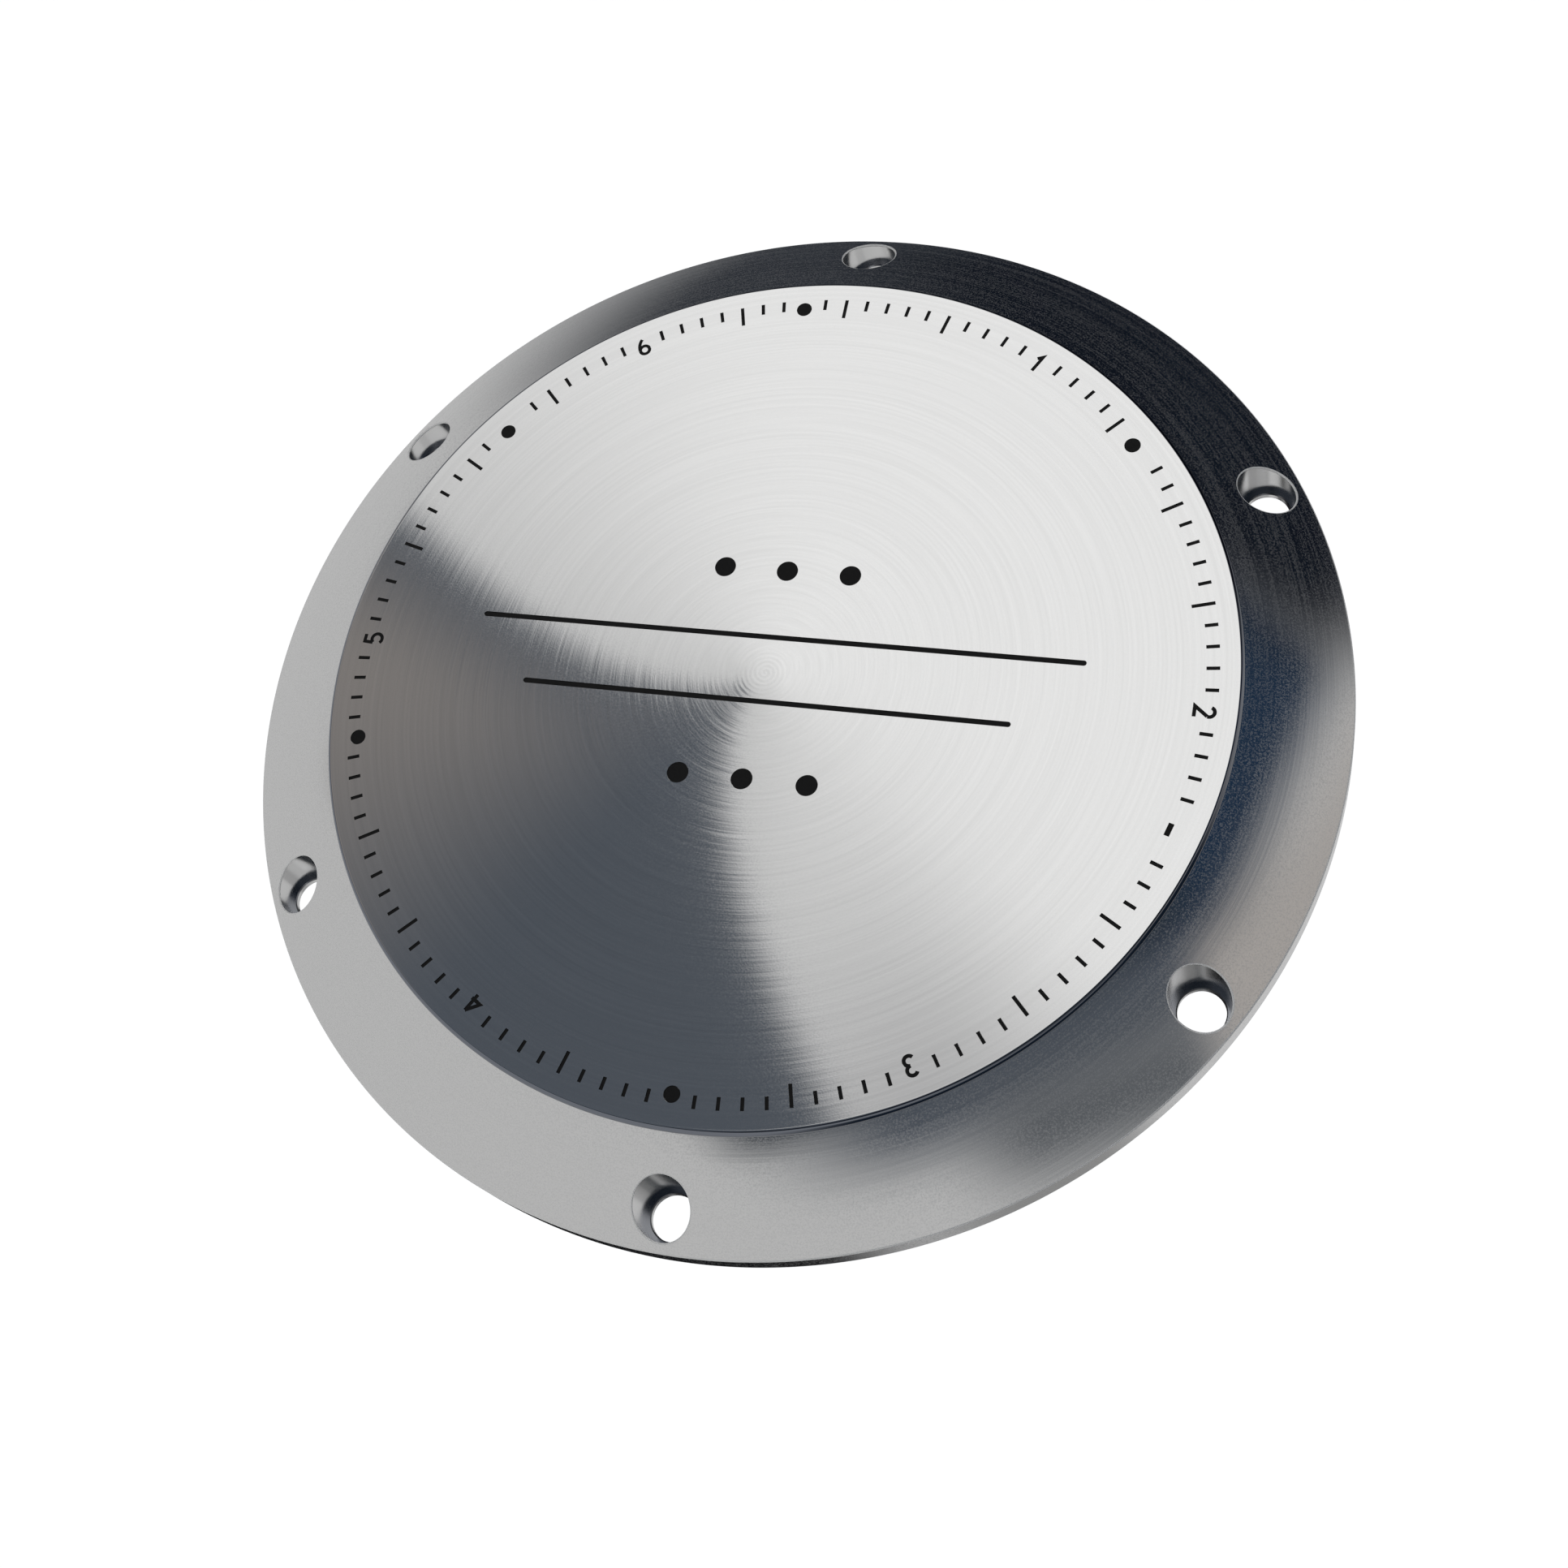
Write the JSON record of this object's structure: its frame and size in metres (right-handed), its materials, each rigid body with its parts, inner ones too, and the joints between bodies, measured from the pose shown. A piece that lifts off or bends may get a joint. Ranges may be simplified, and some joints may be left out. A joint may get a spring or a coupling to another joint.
{
  "type": "watch case back",
  "caption": "Round screw-down watch case back: raised brushed disc, conical flange with stepped screw holes, register spigot and sealing gasket.",
  "frame": {"origin": "centre of the screw circle, on the seat plane where the flange meets the watch case", "axes": "+Z along the turning axis, out of the watch; +X to the right along the rows of dots as seen from outside; +Y to the top of the marks"},
  "size_m": [0.04, 0.04, 0.0045],
  "materials": {
    "brushed_steel": "circular brushed, with polished edge breaks",
    "gasket_rubber": "moulded, matt",
    "black_lacquer": "matt black lacquer filled into engraving"
  },
  "bodies": {
    "cover": {"case_back_cover": "brushed_steel", "ring_dot_infill": "black_lacquer", "ring_dash_infill": "black_lacquer", "scale_tick_infill": "black_lacquer", "sector_number_infill": "black_lacquer", "centre_dot_infill": "black_lacquer", "centre_rule_infill": "black_lacquer"},
    "gasket": {"case_back_gasket": "gasket_rubber"}
  },
  "joints": [
    {"name": "gasket_lift", "type": "slide", "parent": "cover", "child": "gasket", "axis": [0, 0, -1], "range_m": [0, 0.004]}
  ]
}
